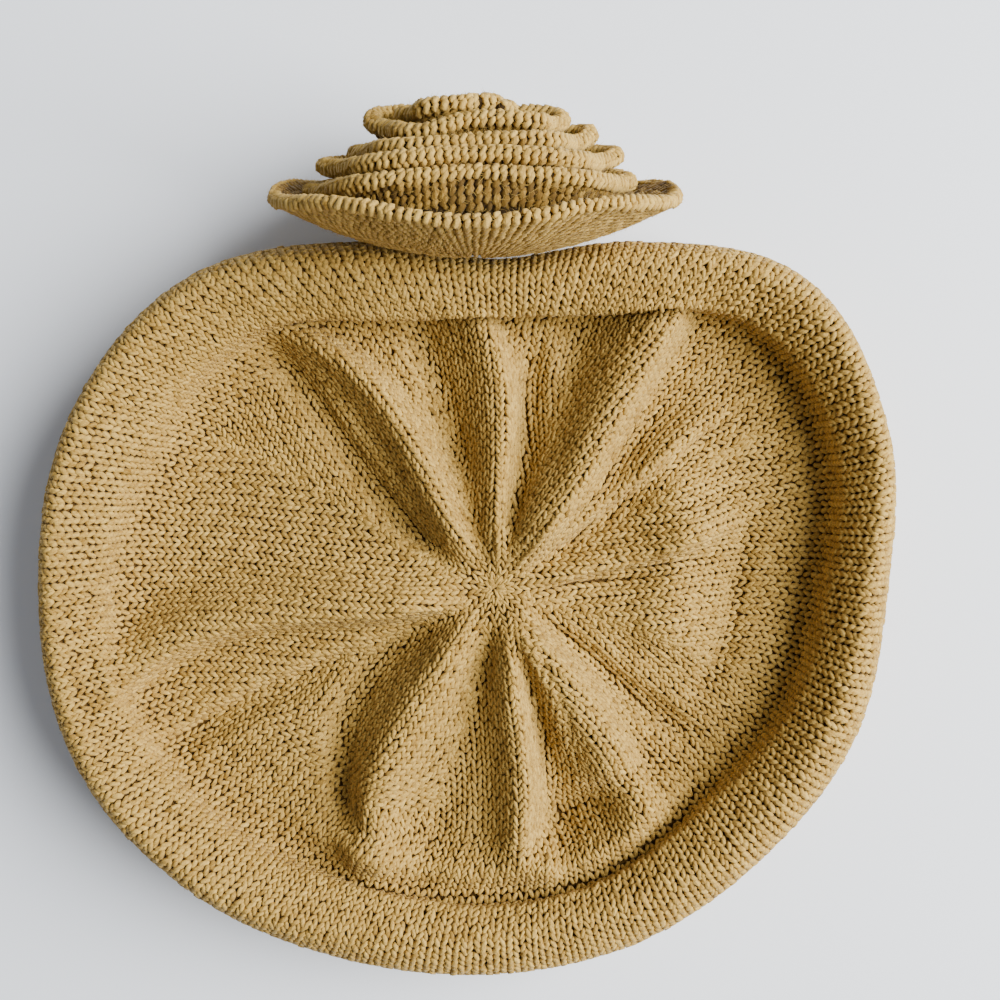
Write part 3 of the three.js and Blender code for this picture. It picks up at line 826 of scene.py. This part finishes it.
def band_legs():
    """Ribs: two columns of legs side by side, with a hollow before the next pair."""
    legs = Legs()
    inset = 0.5
    under = np.linspace(OPENING_RADIUS + BAND_WIDTH - 1, OPENING_RADIUS + 1, 30)
    edge = np.full(6, OPENING_RADIUS + inset)
    top = np.linspace(OPENING_RADIUS + 1, OPENING_RADIUS + 4, 4)
    radii = np.concatenate([under, edge, top])
    up_edge = np.linspace(inset + 0.4, BAND_THICKNESS - inset - 0.4, len(edge))
    heights = np.concatenate([under * 0 + inset, up_edge, top * 0 + BAND_THICKNESS - inset])
    for rib in range(RIBS):
        for leg in (-1, 1):
            azimuth = 360 * (rib + 0.5 + leg * RIB_SPREAD) / RIBS
            path = band_point(radii, azimuth, heights)
            angle = math.radians(azimuth)
            facings = [[0, 0, -1.0], [-math.cos(angle), -math.sin(angle), 0.0], [0, 0, 1.0]]
            normals = np.repeat(facings, [len(under), len(edge), len(top)], axis=0)
            legs.column(path, normals, np.full(len(path), RIB_HALF_WIDTH), leg, course=RIB_COURSE)
    return legs


# Materials


def node(tree, kind, place, **inputs):
    made = tree.nodes.new(kind)
    made.location = place
    for key, value in inputs.items():
        made.inputs[key.replace("_", " ")].default_value = value
    return made


def attribute(tree, name, place):
    made = node(tree, "ShaderNodeAttribute", place)
    made.attribute_name = name
    return made.outputs["Fac"]


def weighted_sum(tree, place, start, parts):
    """A chain of nodes that adds each part, times its weight, to the start value."""
    total = None
    for index, (part, weight) in enumerate(parts):
        adding = node(tree, "ShaderNodeMath", (place[0] + 160 * index, place[1]))
        adding.operation = "MULTIPLY_ADD"
        adding.inputs[1].default_value = weight
        adding.inputs[2].default_value = start
        tree.links.new(part, adding.inputs[0])
        if total is not None:
            tree.links.new(total, adding.inputs[2])
        total = adding.outputs[0]
    return total


def yarn_material(name, patch_scale):
    """Soft wool: a tone for each stitch, strands that wind round each leg, and fine fibres. The tone also
    carries painted shade from the rose's folds and painted light from its rims.
    """
    material = bpy.data.materials.new(name)
    material.use_nodes = True
    tree = material.node_tree
    link = tree.links.new
    shader = tree.nodes["Principled BSDF"]
    shader.inputs["Roughness"].default_value = 0.82
    shader.inputs["Specular IOR Level"].default_value = 0.28
    shader.inputs["Sheen Weight"].default_value = 0.14
    shader.inputs["Sheen Roughness"].default_value = 0.45
    shader.inputs["Sheen Tint"].default_value = (1.0, 0.86, 0.6, 1)

    tone_with_painted_shading = attribute(tree, "tone_with_painted_shading", (-1400, 300))
    coords = node(tree, "ShaderNodeTexCoord", (-1400, 0))
    fine = node(tree, "ShaderNodeTexNoise", (-1100, 0), Scale=2600.0, Detail=4.0, Roughness=0.65)
    patches = node(tree, "ShaderNodeTexNoise", (-1100, -250), Scale=patch_scale, Detail=3.0)
    link(coords.outputs["Object"], fine.inputs["Vector"])
    link(coords.outputs["Object"], patches.inputs["Vector"])

    # The strands' noise is drawn out along each leg, and each leg has its own
    places = node(tree, "ShaderNodeCombineXYZ", (-1050, -500))
    link(attribute(tree, "lay", (-1400, -300)), places.inputs["X"])
    around = attribute(tree, "around", (-1400, -500))
    link(weighted_sum(tree, (-1200, -500), 0.0, [(around, 5.5)]), places.inputs["Y"])
    link(weighted_sum(tree, (-1200, -650), 0.0, [(tone_with_painted_shading, 37.0)]), places.inputs["Z"])
    strands = node(tree, "ShaderNodeTexNoise", (-900, -500), Scale=1.0, Detail=3.0, Roughness=0.7)
    link(places.outputs[0], strands.inputs["Vector"])

    # From dark to light. Each noise has its middle at a half
    noises = [(strands.outputs["Fac"], 1.5), (fine.outputs["Fac"], 1.1), (patches.outputs["Fac"], 0.35)]
    middle = 0.5 - sum(weight for _, weight in noises) / 2
    ramp = node(tree, "ShaderNodeValToRGB", (-50, 200))
    for element, position, colour in zip(ramp.color_ramp.elements, (0.05, 0.95), (YARN_DARK, YARN_LIGHT)):
        element.position = position
        element.color = (*colour, 1)
    link(weighted_sum(tree, (-700, 200), middle, [(tone_with_painted_shading, 0.1), *noises]), ramp.inputs["Fac"])

    # Painted shade: where the tone is low, in the rose's folds, the colour itself is darkened
    painted_fold_shade = node(tree, "ShaderNodeMapRange", (-50, 450), From_Min=-5.5, From_Max=-2.0, To_Min=0.35, To_Max=1.0)
    link(tone_with_painted_shading, painted_fold_shade.inputs["Value"])
    colour_with_painted_shade = node(tree, "ShaderNodeVectorMath", (200, 300))
    colour_with_painted_shade.operation = "SCALE"
    link(ramp.outputs["Color"], colour_with_painted_shade.inputs[0])
    link(painted_fold_shade.outputs["Result"], colour_with_painted_shade.inputs["Scale"])
    link(colour_with_painted_shade.outputs[0], shader.inputs["Base Color"])

    bump = node(tree, "ShaderNodeBump", (-300, -400), Strength=0.7, Distance=0.0004)
    relief = [(strands.outputs["Fac"], 1.0), (fine.outputs["Fac"], 0.4)]
    link(weighted_sum(tree, (-700, -400), 0.0, relief), bump.inputs["Height"])
    link(bump.outputs["Normal"], shader.inputs["Normal"])
    return material


def cloth_material(name, colour):
    """The cloth under the stitches, coloured dark as painted shade for the gaps between them, with the rows
    of their backs as bump.
    """
    material = bpy.data.materials.new(name)
    material.use_nodes = True
    tree = material.node_tree
    shader = tree.nodes["Principled BSDF"]
    shader.inputs["Roughness"].default_value = 0.95
    shader.inputs["Specular IOR Level"].default_value = 0.15
    shader.inputs["Base Color"].default_value = (*colour, 1)
    coords = node(tree, "ShaderNodeTexCoord", (-900, 0))
    grain = node(tree, "ShaderNodeTexVoronoi", (-700, 0), Scale=420.0)
    tree.links.new(coords.outputs["Object"], grain.inputs["Vector"])
    bump = node(tree, "ShaderNodeBump", (-300, -200), Strength=0.8, Distance=0.0006)
    bump.invert = True
    tree.links.new(grain.outputs["Distance"], bump.inputs["Height"])
    tree.links.new(bump.outputs["Normal"], shader.inputs["Normal"])
    return material


# Pieces

crown_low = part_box("crown")[0]
girth = hat_point(np.arange(0, 360, 4.0)[:, None], np.array([[6.4, 7, 7.6]]))
ORIGIN = np.array([crown_low[0] - girth[..., 0].min() * MM, crown_low[1] - girth[..., 1].min() * MM, 0.0])

YARN_LIGHT = (0.62, 0.415, 0.105)
YARN_DARK = (0.235, 0.122, 0.012)
# painted shade: the cloth between the stitches is coloured dark for the shade in their gaps
CLOTH_PAINTED_SHADE_COLOUR = (0.085, 0.043, 0.009)
yarn = yarn_material("Yarn of the crown", 28.0)
rib_yarn = yarn_material("Yarn of the ribs", 31.0)
rose_yarn = yarn_material("Yarn of the rose", 34.0)
crown_cloth_painted_shade = cloth_material("Cloth of the crown in painted shade", CLOTH_PAINTED_SHADE_COLOUR)
band_cloth_painted_shade = cloth_material("Cloth of the band in painted shade", CLOTH_PAINTED_SHADE_COLOUR)
# painted shade, darker still, for the deep gaps in the rose
rose_cloth_painted_shade = cloth_material("Cloth of the rose in painted shade", (0.035, 0.02, 0.007))


def add_piece(piece, node_name):
    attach(piece, "root")
    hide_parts(node_name)


def in_quarter(quarter):
    """Chooses the legs in one quarter of the way round the gather."""

    def keep(rows):
        bearing = np.arctan2(rows[:, 1], rows[:, 0]) % (2 * math.pi)
        return (bearing >= quarter * math.pi / 2) & (bearing < (quarter + 1) * math.pi / 2)

    return keep


azimuths = np.arange(CLOTH_SIDES) / CLOTH_SIDES * 360.0
# Stations are closest where the pleats are steep
near, steep = np.linspace(0.25, 1.1, 8), np.linspace(1.17, 4.1, 49)
stations = np.concatenate([near, steep, np.linspace(4.2, 5.2, 9), np.linspace(5.5, 11, 14)])
outer = [hat_point(azimuths, s) - hat_normal(azimuths, s) * CLOTH_DEPTH for s in stations]
inner = [hat_point(azimuths, s) - hat_normal(azimuths, s) * KNIT_THICKNESS for s in stations[::-2]]
poles = np.array([[0, 0, GATHER_HEIGHT - CLOTH_DEPTH], [0, 0, GATHER_HEIGHT - KNIT_THICKNESS]])
add_piece(make_body("crown_cloth_painted_shade", np.array(outer + inner), poles, crown_cloth_painted_shade), "crown")

legs = crown_legs()
for quarter in range(4):
    stitches = legs.piece(f"crown_stitches_{quarter + 1}", yarn, in_quarter(quarter))
    add_piece(stitches, "crown")
add_piece(fibres("crown_fibres", legs, yarn, 0.3, lambda rows: rows[:, 2] > 3), "crown")

soft = BAND_THICKNESS / 4
band_edge = OPENING_RADIUS + BAND_WIDTH
band_outline = [
    (OPENING_RADIUS + 1.0, 1.0),
    (OPENING_RADIUS + 0.8, BAND_THICKNESS - 1.0),
    (band_edge - soft, BAND_THICKNESS - 0.8),
    (band_edge, BAND_THICKNESS / 2),
    (band_edge - soft, 0.8),
]
band_azimuths = np.arange(BAND_SIDES) / BAND_SIDES * 360.0
band_rings = [band_point(radius, band_azimuths, height) for radius, height in band_outline]
add_piece(make_body("band_cloth_painted_shade", np.array(band_rings), None, band_cloth_painted_shade), "brim_band")
add_piece(band_legs().piece("band_ribs", rib_yarn), "brim_band")

turn, place = rose_place()
add_piece(cup_body("cup_cloth_painted_shade", turn, place, rose_cloth_painted_shade), "flower_base")
cup = cup_legs(turn, place)
add_piece(cup.piece("cup_stitches", rose_yarn), "flower_base")
add_piece(fibres("cup_fibres", cup, rose_yarn, **ROSE_FIBRES), "flower_base")
for name, strip in STRIPS.items():
    add_piece(strip_body(f"{name}_cloth", strip, turn, place, rose_cloth_painted_shade), name)
    legs = strip_legs(strip, turn, place)
    add_piece(legs.piece(f"{name}_stitches", rose_yarn), name)
    add_piece(fibres(f"{name}_fibres", legs, rose_yarn, **ROSE_FIBRES), name)


# Floor, light and camera

bpy.ops.mesh.primitive_plane_add(size=6, location=(0, 0, 0))
floor = bpy.context.object
floor.name = "Floor"
paper = bpy.data.materials.new("Pale floor")
paper.use_nodes = True
paper_shader = paper.node_tree.nodes["Principled BSDF"]
paper_shader.inputs["Base Color"].default_value = (0.87, 0.92, 1.0, 1)
paper_shader.inputs["Roughness"].default_value = 0.9
floor.data.materials.append(paper)


def area_light(name, azimuth, elevation, distance, size, power, colour):
    data = bpy.data.lights.new(name, "AREA")
    data.shape = "DISK"
    data.size = size
    data.energy = power
    data.color = colour
    light = bpy.data.objects.new(name, data)
    a, e = math.radians(azimuth), math.radians(elevation)
    way = Vector((math.cos(a) * math.cos(e), math.sin(a) * math.cos(e), math.sin(e)))
    light.location = way * distance
    light.rotation_mode = "QUATERNION"
    light.rotation_quaternion = way.to_track_quat("Z", "Y")
    bpy.context.scene.collection.objects.link(light)


area_light("Window", azimuth=6, elevation=42, distance=1.6, size=1.5, power=92.0, colour=(1.0, 0.985, 0.95))

world = bpy.data.worlds.new("Room")
world.use_nodes = True
world.node_tree.nodes["Background"].inputs["Color"].default_value = (0.90, 0.92, 0.98, 1)
world.node_tree.nodes["Background"].inputs["Strength"].default_value = 0.26
bpy.context.scene.world = world

# The camera looks straight down from above a point near the gather, in metres
CAMERA_LENS, CAMERA_SENSOR = 45.79, 36.0
CAMERA_SHIFT = (0.0017, 0.0287)
CAMERA_HEIGHT = 0.450
camera_data = bpy.data.cameras.new("Camera")
camera_data.lens = CAMERA_LENS
camera_data.sensor_width = CAMERA_SENSOR
camera_data.clip_start = 0.01
camera_data.clip_end = 50
camera = bpy.data.objects.new("Camera", camera_data)
camera.location = (ORIGIN[0] + CAMERA_SHIFT[0], ORIGIN[1] + CAMERA_SHIFT[1], CAMERA_HEIGHT)
bpy.context.scene.collection.objects.link(camera)
bpy.context.scene.camera = camera

bpy.context.view_layer.update()
